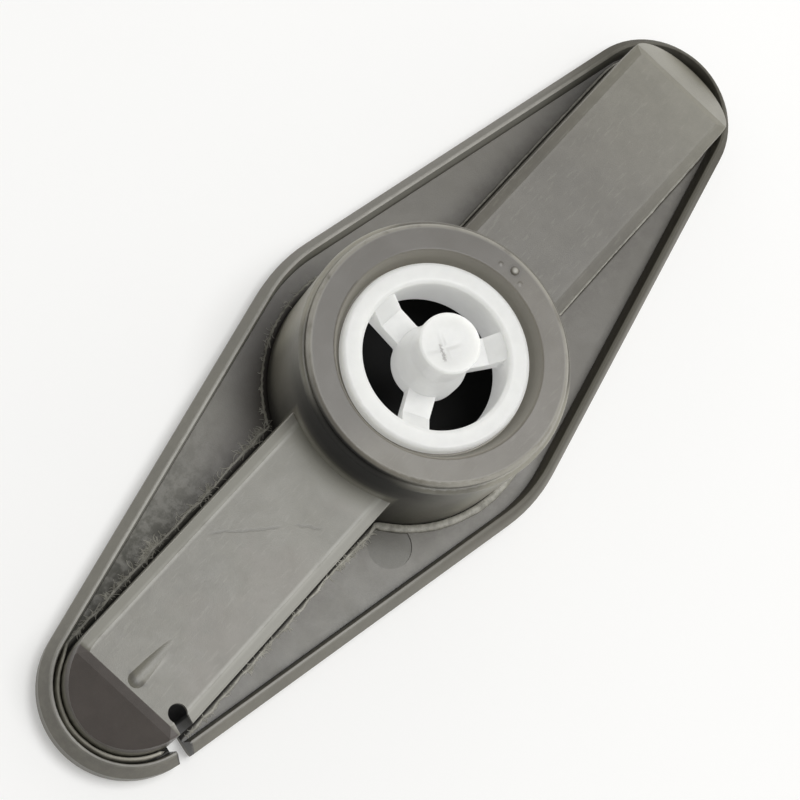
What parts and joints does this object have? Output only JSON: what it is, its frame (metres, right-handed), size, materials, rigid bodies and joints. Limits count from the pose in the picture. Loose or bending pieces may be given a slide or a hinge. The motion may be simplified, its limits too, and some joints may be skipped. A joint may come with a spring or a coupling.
{
  "type": "dishwasher spray arm",
  "caption": "Diamond-shaped dishwasher spray arm: grey welded plastic shells with ducts and a hub turret, spinning on a white spoked bearing insert with a central pin",
  "frame": {"origin": "on the hub's axis, in the plane of the spray face that the arm lies on", "axes": "+Z along the hub's axis, out of the feed side; +X along the arm, towards the tip with the drive jet"},
  "size_m": [0.2, 0.0692, 0.038],
  "materials": {
    "grey_shell": "satin moulded polypropylene",
    "grey_cover": "satin moulded polypropylene",
    "white_bearing": "smooth acetal"
  },
  "bodies": {
    "arm": {"spray_tray": "grey_shell", "duct_cover": "grey_cover"},
    "bearing": {"bearing_insert": "white_bearing"}
  },
  "joints": [
    {"name": "arm_spin", "type": "hinge", "parent": "arm", "child": "bearing", "pos_m": [0, 0, 0.0292], "axis": [0, 0, 1], "continuous": true}
  ]
}
